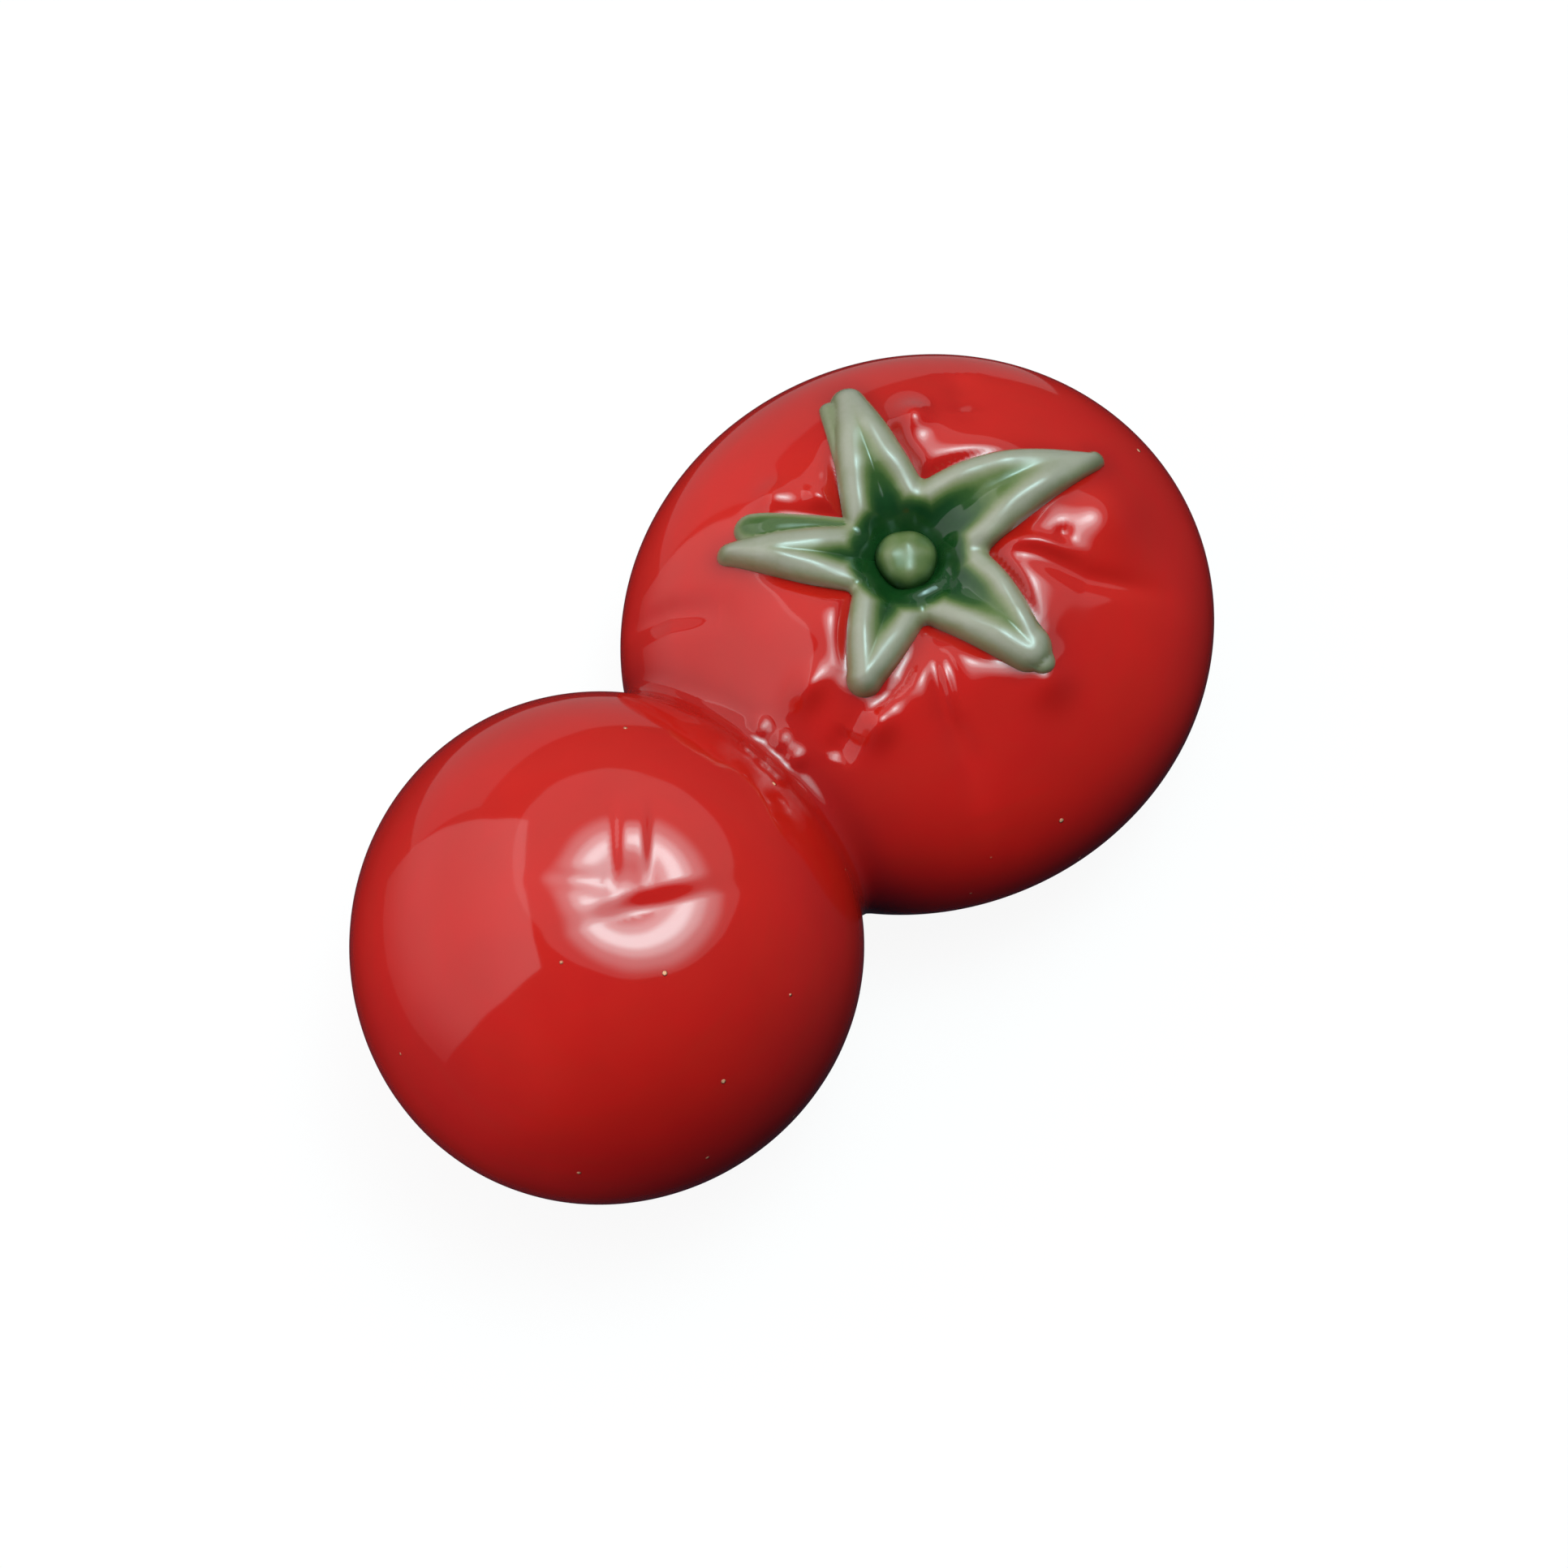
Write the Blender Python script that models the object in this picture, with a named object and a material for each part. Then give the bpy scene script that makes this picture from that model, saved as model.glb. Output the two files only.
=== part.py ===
"""Magnetic pin cushion: two hollow glazed ceramic tomatoes, luted together side by side.

The front tomato is a whole round shell. The rear one is a flatter shell, trimmed to fit against it,
with a star-shaped calyx and a stem stub pressed on its crown. Inside each crown an adhesive bed holds
a disc magnet, and a board disc and a felt disc close each opening underneath.

Run with: blender --background --python part.py
"""

import math
from collections import namedtuple

import bmesh
import bpy

MM = 0.001

# Driving dimensions.
SPACING = 25.4 * MM
WALL = 2.8 * MM
GAP = 0.3 * MM
FELT_THICKNESS = 1.2 * MM
BOARD_THICKNESS = 2.0 * MM
MAGNET_THICKNESS = 3.0 * MM
BED_GRIP = 1.2 * MM
BED_RIM = 1.3 * MM

FOOT_HEIGHT = FELT_THICKNESS + GAP
FELT_INSET = 0.8 * MM

# A tomato's plan is a circle with a few shallow lobes, each given as a count, a depth, and the angle
# of one crest in degrees. Its upright section is a superellipse: exponent is 2 for an ellipse, and
# squarer above that. offset is along X from the pair's shared middle, before the pair is centred.
Tomato = namedtuple("Tomato", "offset radius height equator exponent foot opening magnet lobes")
FRONT = Tomato(
    offset=-SPACING / 2,
    radius=14.05 * MM,
    height=23.0 * MM,
    equator=10.5 * MM,
    exponent=2.05,
    foot=10.0 * MM,
    opening=7.6 * MM,
    magnet=6.0 * MM,
    lobes=((3, 0.007, 76),),
)
REAR = Tomato(
    offset=SPACING / 2,
    radius=16.3 * MM,
    height=17.5 * MM,
    equator=7.8 * MM,
    exponent=2.25,
    foot=11.3 * MM,
    opening=8.8 * MM,
    magnet=7.5 * MM,
    lobes=((2, 0.034, -19),),
)

# The calyx: its centre lies off the rear tomato's axis, in a shallow dent in the crown.
CALYX_X = 0.75 * MM
CALYX_Y = 1.74 * MM
DENT_DEPTH = 1.1 * MM
DENT_WIDTH = 5.5 * MM
SEPAL_THICKNESS = 1.2 * MM
CUP_THICKNESS = 0.5 * MM
CUP_RADIUS = 2.4 * MM
CUP_WALL_SPREAD = 1.1
HUB_RADIUS = 4.0 * MM
NOTCH_SHARPNESS = 8
EDGE_START = 0.7
EDGE_SLIMMING = 0.9

# Each sepal is half an ellipse: its direction in degrees, its length, and its half width on each side.
Sepal = namedtuple("Sepal", "angle length left right")
SEPALS = (
    Sepal(60, 10.7 * MM, 2.1 * MM, 2.3 * MM),
    Sepal(130, 10.3 * MM, 2.2 * MM, 2.6 * MM),
    Sepal(203, 8.2 * MM, 2.3 * MM, 2.2 * MM),
    Sepal(272, 9.5 * MM, 2.6 * MM, 2.4 * MM),
    Sepal(344, 12.0 * MM, 2.9 * MM, 2.0 * MM),
)

STUB_RADIUS = 1.8 * MM
STUB_HEIGHT = 1.7 * MM

# Mesh fineness.
TOMATO_SEGMENTS = 48
DISC_SEGMENTS = 36
STUB_SEGMENTS = 20
STUB_STEPS = 7
CALYX_SEGMENTS = 100
CROWN_STEPS = 10
UNDER_STEPS = 5
BED_STEPS = 6


def clear_scene():
    for obj in list(bpy.data.objects):
        bpy.data.objects.remove(obj)


def material(name, colour, roughness, metallic=0.0, coat=0.0):
    made = bpy.data.materials.new(name)
    made.use_nodes = True
    shader = made.node_tree.nodes["Principled BSDF"]
    shader.inputs["Base Color"].default_value = (*colour, 1.0)
    shader.inputs["Roughness"].default_value = roughness
    shader.inputs["Metallic"].default_value = metallic
    shader.inputs["Coat Weight"].default_value = coat
    return made


def turns(segments):
    """The angles of a full turn's points, in radians."""
    return [2 * math.pi * i / segments for i in range(segments)]


def lobed(tomato, angle):
    """The plan radius at this angle, as a share of the tomato's radius."""
    return 1 + sum(
        depth * math.cos(count * (angle - math.radians(crest))) for count, depth, crest in tomato.lobes
    )


def reach(tomato, direction):
    """How far the tomato's widest ring reaches from its axis, in a direction given in radians."""
    reaches = [lobed(tomato, angle) * math.cos(angle - direction) for angle in turns(TOMATO_SEGMENTS)]
    return tomato.radius * max(reaches)


def pair_centre():
    """The middle of the pair's bounding box in plan, which the origin stands under."""
    right = REAR.offset + reach(REAR, 0)
    left = FRONT.offset - reach(FRONT, math.pi)
    back = max(reach(REAR, math.pi / 2), reach(FRONT, math.pi / 2))
    front = max(reach(REAR, -math.pi / 2), reach(FRONT, -math.pi / 2))
    return (left + right) / 2, (back - front) / 2


CENTRE_X, CENTRE_Y = pair_centre()


def place(obj, tomato):
    """Stands an object made around the Z axis on the tomato's own axis."""
    obj.location = (tomato.offset - CENTRE_X, -CENTRE_Y, 0)


def under_reach(tomato):
    """The vertical half axis of the lower section, which passes through the foot's edge."""
    share = 1 - (tomato.foot / tomato.radius) ** tomato.exponent
    return (tomato.equator - FOOT_HEIGHT) / share ** (1 / tomato.exponent)


def section_radius(tomato, height, inset=0.0):
    """The section's radius at a height, for the outer face or one inset from it."""
    if height >= tomato.equator:
        half_axis = tomato.height - tomato.equator - inset
    else:
        half_axis = under_reach(tomato) - inset
    share = min(1.0, abs(height - tomato.equator) / half_axis)
    return (tomato.radius - inset) * (1 - share**tomato.exponent) ** (1 / tomato.exponent)


def section_height(tomato, radius, inset=0.0):
    """The upper section's height at a radius, for the outer face or one inset from it."""
    share = min(1.0, radius / (tomato.radius - inset))
    rise = (1 - share**tomato.exponent) ** (1 / tomato.exponent)
    return tomato.equator + (tomato.height - tomato.equator - inset) * rise


def dent(x, y):
    """How far the rear crown is pressed down at a point given from the rear tomato's axis."""
    distance = math.hypot(x - CALYX_X, y - CALYX_Y)
    return DENT_DEPTH * math.exp(-((distance / DENT_WIDTH) ** 2))


def crown_height(x, y):
    """The height of the rear tomato's outer face at a point given from its axis."""
    scale = lobed(REAR, math.atan2(y, x))
    return section_height(REAR, math.hypot(x, y) / scale) - dent(x, y)


def crown_to_foot(tomato, inset, lowest):
    """(radius, height) points down the section, from the axis to the lowest height."""
    points = []
    for i in range(CROWN_STEPS + 1):
        radius = (tomato.radius - inset) * math.sin(math.pi / 2 * i / CROWN_STEPS)
        points.append((radius, section_height(tomato, radius, inset)))
    for i in range(1, UNDER_STEPS + 1):
        height = tomato.equator + (lowest - tomato.equator) * i / UNDER_STEPS
        points.append((section_radius(tomato, height, inset), height))
    return points


def lofted(name, rings):
    """A closed solid skinned over rings of points. The first and last rings are one point each."""
    mesh = bmesh.new()
    loops = [[mesh.verts.new(point) for point in ring] for ring in rings]
    count = max(len(loop) for loop in loops)
    for upper, lower in zip(loops, loops[1:]):
        for i in range(count):
            following = (i + 1) % count
            corners = [
                upper[i % len(upper)],
                lower[i % len(lower)],
                lower[following % len(lower)],
                upper[following % len(upper)],
            ]
            mesh.faces.new(list(dict.fromkeys(corners)))
    bmesh.ops.recalc_face_normals(mesh, faces=mesh.faces)
    data = bpy.data.meshes.new(name)
    mesh.to_mesh(data)
    mesh.free()
    data.shade_smooth()
    data.set_sharp_from_angle(angle=math.radians(35))
    obj = bpy.data.objects.new(name, data)
    bpy.context.scene.collection.objects.link(obj)
    return obj


def turned(name, profile, segments, plan=lambda angle: 1.0):
    """A closed solid turned from a section about the Z axis. plan scales the radius by angle."""
    rings = []
    for radius, height in profile:
        if radius == 0:
            rings.append([(0, 0, height)])
            continue
        ring = []
        for angle in turns(segments):
            reached = radius * plan(angle)
            ring.append((reached * math.cos(angle), reached * math.sin(angle), height))
        rings.append(ring)
    return lofted(name, rings)


def shell(name, tomato, glaze):
    """A hollow tomato with a flat foot ring and a round opening under it."""
    outer = crown_to_foot(tomato, 0.0, FOOT_HEIGHT)
    inner = crown_to_foot(tomato, WALL, FOOT_HEIGHT + WALL)
    throat = [(tomato.opening, FOOT_HEIGHT), (tomato.opening, FOOT_HEIGHT + WALL)]
    profile = outer + throat + inner[::-1]
    obj = turned(name, profile, TOMATO_SEGMENTS, lambda angle: lobed(tomato, angle))
    place(obj, tomato)
    obj.data.materials.append(glaze)
    return obj


def press_dent(rear):
    """Lowers the calyx's dent into the outer crown, whose rings come first in the shell's mesh."""
    outer_crown = rear.data.vertices[: 1 + CROWN_STEPS * TOMATO_SEGMENTS]
    for vertex in outer_crown:
        vertex.co.z -= dent(vertex.co.x, vertex.co.y)


def joint_cutter():
    """The front tomato's outline grown by the luting gap, to trim the rear shell."""
    grown = FRONT._replace(radius=FRONT.radius + GAP, height=FRONT.height + GAP, foot=FRONT.foot + GAP)
    profile = crown_to_foot(grown, 0.0, FOOT_HEIGHT) + [(0.0, FOOT_HEIGHT)]
    cutter = turned("joint_cutter", profile, TOMATO_SEGMENTS, lambda angle: lobed(FRONT, angle))
    place(cutter, FRONT)
    cutter.hide_render = True
    cutter.display_type = "WIRE"
    return cutter


def tomatoes(glaze):
    shell("front_tomato", FRONT, glaze)
    rear = shell("rear_tomato", REAR, glaze)
    press_dent(rear)
    trim = rear.modifiers.new("fit_against_front", "BOOLEAN")
    trim.operation = "DIFFERENCE"
    trim.solver = "EXACT"
    trim.object = joint_cutter()


def sepal_reach(sepal, angle):
    """How far one sepal's outline is from the calyx's centre, at an angle in radians."""
    off = (angle - math.radians(sepal.angle) + math.pi) % (2 * math.pi) - math.pi
    if math.cos(off) <= 0:
        return 0.0
    half_width = sepal.left if off > 0 else sepal.right
    return 1 / math.hypot(math.cos(off) / sepal.length, math.sin(off) / half_width)


def calyx_outline(angle):
    """The calyx's edge: its sepals and hub, run together with soft notches."""
    parts = [sepal_reach(sepal, angle) for sepal in SEPALS] + [HUB_RADIUS]
    return sum(part**NOTCH_SHARPNESS for part in parts) ** (1 / NOTCH_SHARPNESS)


def calyx_thickness(radius, edge):
    """Thin in the stub's cup, full over the sepals, and rounded off at the edge."""
    if radius < CUP_RADIUS:
        return CUP_THICKNESS
    rounding = max(0.0, (radius / edge - EDGE_START) / (1 - EDGE_START))
    return SEPAL_THICKNESS * math.sqrt(1 - EDGE_SLIMMING * rounding**2)


def calyx(glaze):
    """A star-shaped plate that follows the rear crown, a gap above it, with a cup for the stub."""
    spreads = (0.0, 0.25, 0.5, 0.7, 0.85, 0.95, 1.0)
    angles = turns(CALYX_SEGMENTS)
    edges = [calyx_outline(angle) for angle in angles]
    cup_wall = CUP_RADIUS * CUP_WALL_SPREAD
    ring_radii = [[CUP_RADIUS * 0.99] * CALYX_SEGMENTS]
    for spread in spreads:
        ring_radii.append([cup_wall + (edge - cup_wall) * spread for edge in edges])

    middle = crown_height(CALYX_X, CALYX_Y) + GAP
    top = [[(0, 0, middle + CUP_THICKNESS)]]
    under = [[(0, 0, middle)]]
    for radii in ring_radii:
        top_ring = []
        under_ring = []
        for angle, edge, radius in zip(angles, edges, radii):
            x = radius * math.cos(angle)
            y = radius * math.sin(angle)
            low = crown_height(CALYX_X + x, CALYX_Y + y) + GAP
            top_ring.append((x, y, low + calyx_thickness(radius, edge)))
            under_ring.append((x, y, low))
        top.append(top_ring)
        under.append(under_ring)
    obj = lofted("calyx", top + under[::-1])
    place(obj, REAR)
    obj.location.x += CALYX_X
    obj.location.y += CALYX_Y
    obj.data.materials.append(glaze)


def stem_stub(glaze):
    """A small flattened ball that sits in the calyx's cup."""
    half_height = STUB_HEIGHT / 2
    profile = [(0.0, STUB_HEIGHT)]
    for i in range(1, STUB_STEPS):
        angle = math.pi * i / STUB_STEPS
        profile.append((STUB_RADIUS * math.sin(angle), half_height * (1 + math.cos(angle))))
    profile.append((0.0, 0.0))
    obj = turned("stem_stub", profile, STUB_SEGMENTS)
    place(obj, REAR)
    obj.location.x += CALYX_X
    obj.location.y += CALYX_Y
    obj.location.z = crown_height(CALYX_X, CALYX_Y) + CUP_THICKNESS + 2 * GAP
    obj.data.materials.append(glaze)


def disc(name, tomato, radius, lowest, thickness, finish):
    """A flat round piece centred on the tomato's axis."""
    top = lowest + thickness
    profile = [(0.0, top), (radius, top), (radius, lowest), (0.0, lowest)]
    obj = turned(name, profile, DISC_SEGMENTS)
    place(obj, tomato)
    obj.data.materials.append(finish)


def magnet_top(tomato):
    """The height of the magnet's upper face, which the bed's rim keeps off the shell."""
    rim = section_height(tomato, tomato.magnet + BED_RIM, WALL)
    return rim - 2 * GAP


def magnet_bed(name, tomato, finish):
    """The adhesive that fills the crown above the magnet and grips its edge."""
    outer_radius = tomato.magnet + BED_RIM
    top = magnet_top(tomato)
    profile = []
    for i in range(BED_STEPS + 1):
        radius = outer_radius * i / BED_STEPS
        profile.append((radius, section_height(tomato, radius, WALL) - GAP))
    profile += [
        (outer_radius, top - BED_GRIP),
        (tomato.magnet + GAP, top - BED_GRIP),
        (tomato.magnet + GAP, top + GAP),
        (0.0, top + GAP),
    ]
    obj = turned(name, profile, DISC_SEGMENTS)
    place(obj, tomato)
    obj.data.materials.append(finish)


def inner_pieces(tomato, prefix, nickel, adhesive, board, felt):
    """One tomato's magnet and its adhesive bed, and the two discs that close its opening."""
    magnet_bed(f"{prefix}_magnet_bed", tomato, adhesive)
    magnet_low = magnet_top(tomato) - MAGNET_THICKNESS
    disc(f"{prefix}_magnet", tomato, tomato.magnet, magnet_low, MAGNET_THICKNESS, nickel)
    disc(f"{prefix}_closing_disc", tomato, tomato.opening - GAP, FOOT_HEIGHT, BOARD_THICKNESS, board)
    disc(f"{prefix}_felt_disc", tomato, tomato.foot - FELT_INSET, 0.0, FELT_THICKNESS, felt)


def main():
    clear_scene()
    red_glaze = material("red_glaze", (0.55, 0.02, 0.015), 0.08, coat=1.0)
    green_glaze = material("green_glaze", (0.20, 0.30, 0.17), 0.1, coat=1.0)
    nickel = material("nickel", (0.62, 0.60, 0.57), 0.25, metallic=1.0)
    adhesive = material("adhesive", (0.75, 0.72, 0.62), 0.5)
    board = material("board", (0.45, 0.40, 0.33), 0.9)
    felt = material("felt", (0.25, 0.02, 0.02), 1.0)
    tomatoes(red_glaze)
    calyx(green_glaze)
    stem_stub(green_glaze)
    for tomato, prefix in ((FRONT, "front"), (REAR, "rear")):
        inner_pieces(tomato, prefix, nickel, adhesive, board, felt)


main()
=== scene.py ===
"""The looks of the ceramic tomato pin cushion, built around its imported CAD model.

The two CAD shells are replaced by fine shells whose outer faces meet in one soft, glazed fillet. The
calyx, the stub and the felt discs are replaced too. All lengths below are in millimetres until a mesh is
made, and places come from the frame.
"""

import math
from collections import namedtuple

import bpy
import numpy as np
from mathutils import Matrix, Vector


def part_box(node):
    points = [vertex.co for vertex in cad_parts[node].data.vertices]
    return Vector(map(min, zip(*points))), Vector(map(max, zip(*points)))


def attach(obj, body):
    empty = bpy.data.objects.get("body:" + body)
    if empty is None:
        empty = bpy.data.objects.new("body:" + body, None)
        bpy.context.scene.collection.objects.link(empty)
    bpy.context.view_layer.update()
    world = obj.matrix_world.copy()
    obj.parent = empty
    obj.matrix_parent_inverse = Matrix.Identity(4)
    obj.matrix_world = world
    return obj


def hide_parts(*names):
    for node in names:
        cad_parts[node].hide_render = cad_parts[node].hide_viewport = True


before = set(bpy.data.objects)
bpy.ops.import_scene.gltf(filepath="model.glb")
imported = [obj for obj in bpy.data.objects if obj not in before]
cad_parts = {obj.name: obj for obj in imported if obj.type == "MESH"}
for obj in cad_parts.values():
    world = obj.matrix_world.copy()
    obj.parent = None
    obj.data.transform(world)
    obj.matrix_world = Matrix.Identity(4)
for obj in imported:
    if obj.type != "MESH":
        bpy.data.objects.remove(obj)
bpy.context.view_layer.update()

MM = 0.001
BODY = "root"


def box_mm(node):
    low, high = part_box(node)
    return np.array(low) / MM, np.array(high) / MM


# ---------------------------------------------------------------- the shape of the two tomatoes

# A tomato is turned round its axis: each half of its section is a superellipse, and lobes, each given as
# (how many, how deep as a share, the direction of one crest), widen it here and there.
Tomato = namedtuple("Tomato", "x y radius height equator exponent foot opening lobes")
WALL = 2.8
FELT_INSET = 0.8
FILLET = 1.5
SEAM_OFFSET = 0.35
REAR_SIDE_WALL = 1.2


def lobed(tomato, angle):
    """The plan radius at this angle, as a share of the tomato's radius."""
    return 1 + sum(
        depth * np.cos(count * (angle - math.radians(crest))) for count, depth, crest in tomato.lobes
    )


def tomato_from_frame(prefix, outward, height, equator, exponent, opening, lobes):
    """Reads a tomato's axis, radius and foot from its CAD nodes. outward is -1 or 1, its free side in X."""
    shell_low, shell_high = box_mm(f"{prefix}_tomato")
    felt_low, felt_high = box_mm(f"{prefix}_felt_disc")
    axis = (felt_low + felt_high) / 2
    made = Tomato(axis[0], axis[1], 1.0, height, equator, exponent, 0.0, opening, lobes)
    side = shell_high[0] - axis[0] if outward > 0 else axis[0] - shell_low[0]
    radius = side / lobed(made, 0.0 if outward > 0 else math.pi)
    foot = (felt_high[0] - felt_low[0]) / 2 + FELT_INSET
    return made._replace(radius=radius, foot=foot)


FRONT = tomato_from_frame(
    "front",
    outward=-1,
    height=box_mm("front_tomato")[1][2],
    equator=10.5,
    exponent=2.05,
    opening=7.6,
    lobes=((3, 0.007, 76),),
)
REAR = tomato_from_frame(
    "rear",
    outward=1,
    height=17.5,
    equator=7.8,
    exponent=2.25,
    opening=8.8,
    lobes=((2, 0.034, -19),),
)
FOOT_HEIGHT = box_mm("front_tomato")[0][2]
FELT_TOP = FOOT_HEIGHT

stub_low, stub_high = box_mm("stem_stub")
CALYX = (stub_low[:2] + stub_high[:2]) / 2


def under_reach(tomato):
    """The lower half axis that puts the section's edge on the foot ring at the foot's height."""
    share = 1 - (tomato.foot / tomato.radius) ** tomato.exponent
    return (tomato.equator - FOOT_HEIGHT) / share ** (1 / tomato.exponent)


def section_radius(tomato, height, inset=0.0):
    half_axis = under_reach(tomato) - inset
    share = np.clip((tomato.equator - height) / half_axis, 0, 1)
    return (tomato.radius - inset) * (1 - share**tomato.exponent) ** (1 / tomato.exponent)


def section_height(tomato, radius, inset=0.0):
    share = np.clip(radius / (tomato.radius - inset), 0, 1)
    rise = (1 - share**tomato.exponent) ** (1 / tomato.exponent)
    return tomato.equator + (tomato.height - tomato.equator - inset) * rise


def distance(tomato, points, inset=0.0):
    """About how far each point is outside the tomato's skin, or outside the skin inset from it."""
    x = points[..., 0] - tomato.x
    y = points[..., 1] - tomato.y
    up = points[..., 2] - tomato.equator
    radius = tomato.radius - inset
    half_axis = np.where(up >= 0, tomato.height - tomato.equator - inset, under_reach(tomato) - inset)
    across = np.hypot(x, y) / (radius * lobed(tomato, np.arctan2(y, x))) + 1e-9
    along = np.abs(up) / half_axis + 1e-9
    power = tomato.exponent
    level = (across**power + along**power) ** (1 / power)
    slope = np.hypot((across / level) ** (power - 1) / radius, (along / level) ** (power - 1) / half_axis)
    return (level - 1) / slope


def smoothstep(low, high, value):
    share = np.clip((value - low) / (high - low), 0, 1)
    return share * share * (3 - 2 * share)


def soft_min(a, b, size):
    blend = np.clip(size - np.abs(a - b), 0, None) / size
    return np.minimum(a, b) - blend * blend * size / 4


# ---------------------------------------------------------------- the calyx's outline

# A leaf is a bent, tapered bar with a round tip: its direction in degrees, its length, how far its tip
# bends to the left of that direction, its half width at the root and at the tip, and how long it stays
# wide.
Leaf = namedtuple("Leaf", "angle length bend root tip fullness")
SEPALS = (
    Leaf(65, 10.95, -0.65, 2.80, 0.95, 1.5),
    Leaf(136, 10.35, -0.9, 2.15, 0.65, 1.9),
    Leaf(203, 8.5, 0.2, 2.25, 1.00, 2.4),
    Leaf(285, 9.6, -1.7, 2.75, 1.35, 2.4),
    Leaf(0, 12.0, -3.6, 2.85, 0.60, 2.6),
)
# Low steps of slip that show beside three of the sepals.
LEDGES = (
    Leaf(70, 10.5, -0.4, 2.2, 0.60, 1.2),
    Leaf(126, 9.6, -0.7, 2.3, 0.90, 1.2),
    Leaf(273, 10.2, 0.0, 2.4, 0.75, 1.2),
)
LEDGE_POOLS = (0.25, 0.62, 0.02)
HUB_RADIUS = 3.05
NOTCH_SOFTNESS = 0.5


def leaf_distance(leaf, x, y):
    """About how far a point is outside a leaf's outline, given from the calyx's centre."""
    turn = math.radians(leaf.angle)
    along = x * math.cos(turn) + y * math.sin(turn)
    last = leaf.length - leaf.tip
    share = np.clip(along / last, 0, 1)
    across = -x * math.sin(turn) + y * math.cos(turn) - leaf.bend * share**2
    beyond = np.clip(along - last, 0, None) + np.clip(-along, 0, None)
    return np.hypot(across, beyond) - (leaf.root + (leaf.tip - leaf.root) * share**leaf.fullness)


def star_distance(x, y):
    """How far a point is outside the calyx's upper plate."""
    edge = np.hypot(x, y) - HUB_RADIUS
    for sepal in SEPALS:
        edge = soft_min(edge, leaf_distance(sepal, x, y), NOTCH_SOFTNESS)
    return edge


def ledge_distance(x, y):
    edge = leaf_distance(LEDGES[0], x, y)
    for ledge in LEDGES[1:]:
        edge = np.minimum(edge, leaf_distance(ledge, x, y))
    return edge


def calyx_edge(x, y):
    """How far a point is outside the whole calyx, with its ledges."""
    return np.minimum(star_distance(x, y), ledge_distance(x, y))


# ---------------------------------------------------------------- relief in the red skin

# Places are polar about the calyx's centre: degrees and millimetres. A hill is a soft bump that may be
# longer along its radius than across it. A fold is a line through such points.
Hill = namedtuple("Hill", "angle reach height along across")
Fold = namedtuple("Fold", "points height width")
REAR_HILLS = (
    Hill(40, 8.3, 0.80, 1.0, 1.0),
    Hill(98, 5.9, 0.25, 0.8, 0.6),
    Hill(107, 8.3, 0.45, 0.9, 1.0),
    Hill(187, 9.3, 0.60, 1.2, 0.9),
    Hill(176, 4.2, 0.60, 2.3, 1.8),
    Hill(213, 9.7, 0.60, 1.1, 1.0),
    Hill(270, 10.4, 0.60, 1.2, 1.3),
    Hill(326, 11.2, 1.10, 2.3, 2.6),
    Hill(321, 8.6, -0.20, 0.42, 0.48),
)
REAR_FOLDS = (
    Fold(((240, 4.4), (238, 6.3), (237, 9.3), (239, 11.7), (239, 14.6)), -0.45, 0.85),
    Fold(((239, 6.4), (239, 9.6)), 0.26, 0.34),
    Fold(((237, 5.0), (220, 7.2), (206, 10.3)), -0.35, 0.6),
    Fold(((147, 10.6), (143, 13.2), (143, 16.0)), -0.45, 0.9),
    Fold(((313, 6.4), (306, 9.8), (307, 14.0)), -0.35, 0.7),
    Fold(((323, 4.6), (318, 7.2), (313, 9.6)), 0.30, 0.45),
    Fold(((205, 10.2), (203, 12.0)), -0.30, 0.8),
    Fold(((22, 9.2), (28, 12.0)), -0.35, 1.0),
)
DENT_DEPTH = 1.7
DENT_WIDTH = 5.0
SHOULDER_HEIGHT = 0.65
SHOULDER_REACH = 6.4
SHOULDER_WIDTH = 2.9
# The moat is the low line at the calyx's edge, at its full depth up to one reach and gone at the other.
MOAT_DEPTH = 0.35
MOAT_WIDTH = 0.60
MOAT_FULL = 6.0
MOAT_END = 9.0


def polar(angle, reach):
    return np.array([math.cos(math.radians(angle)), math.sin(math.radians(angle))]) * reach


def hill_relief(hill, x, y):
    turn = math.radians(hill.angle)
    along = x * math.cos(turn) + y * math.sin(turn) - hill.reach
    across = -x * math.sin(turn) + y * math.cos(turn)
    return hill.height * np.exp(-((along / hill.along) ** 2) - (across / hill.across) ** 2)


def path_relief(points, height, width, x, y):
    """A line of relief along a path, which fades in and out at the path's ends."""
    nearest = np.full(np.shape(x), 1e9)
    place = np.zeros(np.shape(x))
    lengths = [math.dist(a, b) for a, b in zip(points, points[1:])]
    total = sum(lengths)
    walked = 0.0
    for (ax, ay), (bx, by), length in zip(points, points[1:], lengths):
        share = np.clip(((x - ax) * (bx - ax) + (y - ay) * (by - ay)) / length**2, 0, 1)
        away = np.hypot(x - ax - share * (bx - ax), y - ay - share * (by - ay))
        closer = away < nearest
        nearest = np.where(closer, away, nearest)
        place = np.where(closer, (walked + share * length) / total, place)
        walked += length
    fade = smoothstep(-0.25, 0.35, place) * smoothstep(1.15, 0.55, place)
    return height * fade * np.exp(-((nearest / width) ** 2))


def rear_relief(x, y):
    """The relief of the rear crown, without the moat at the calyx's edge."""
    reach = np.hypot(x, y)
    relief = -DENT_DEPTH * np.exp(-((reach / DENT_WIDTH) ** 2))
    relief = relief + SHOULDER_HEIGHT * np.exp(-(((reach - SHOULDER_REACH) / SHOULDER_WIDTH) ** 2))
    for hill in REAR_HILLS:
        relief = relief + hill_relief(hill, x, y)
    for fold in REAR_FOLDS:
        points = [tuple(polar(*point)) for point in fold.points]
        relief = relief + path_relief(points, fold.height, fold.width, x, y)
    return relief


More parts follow.
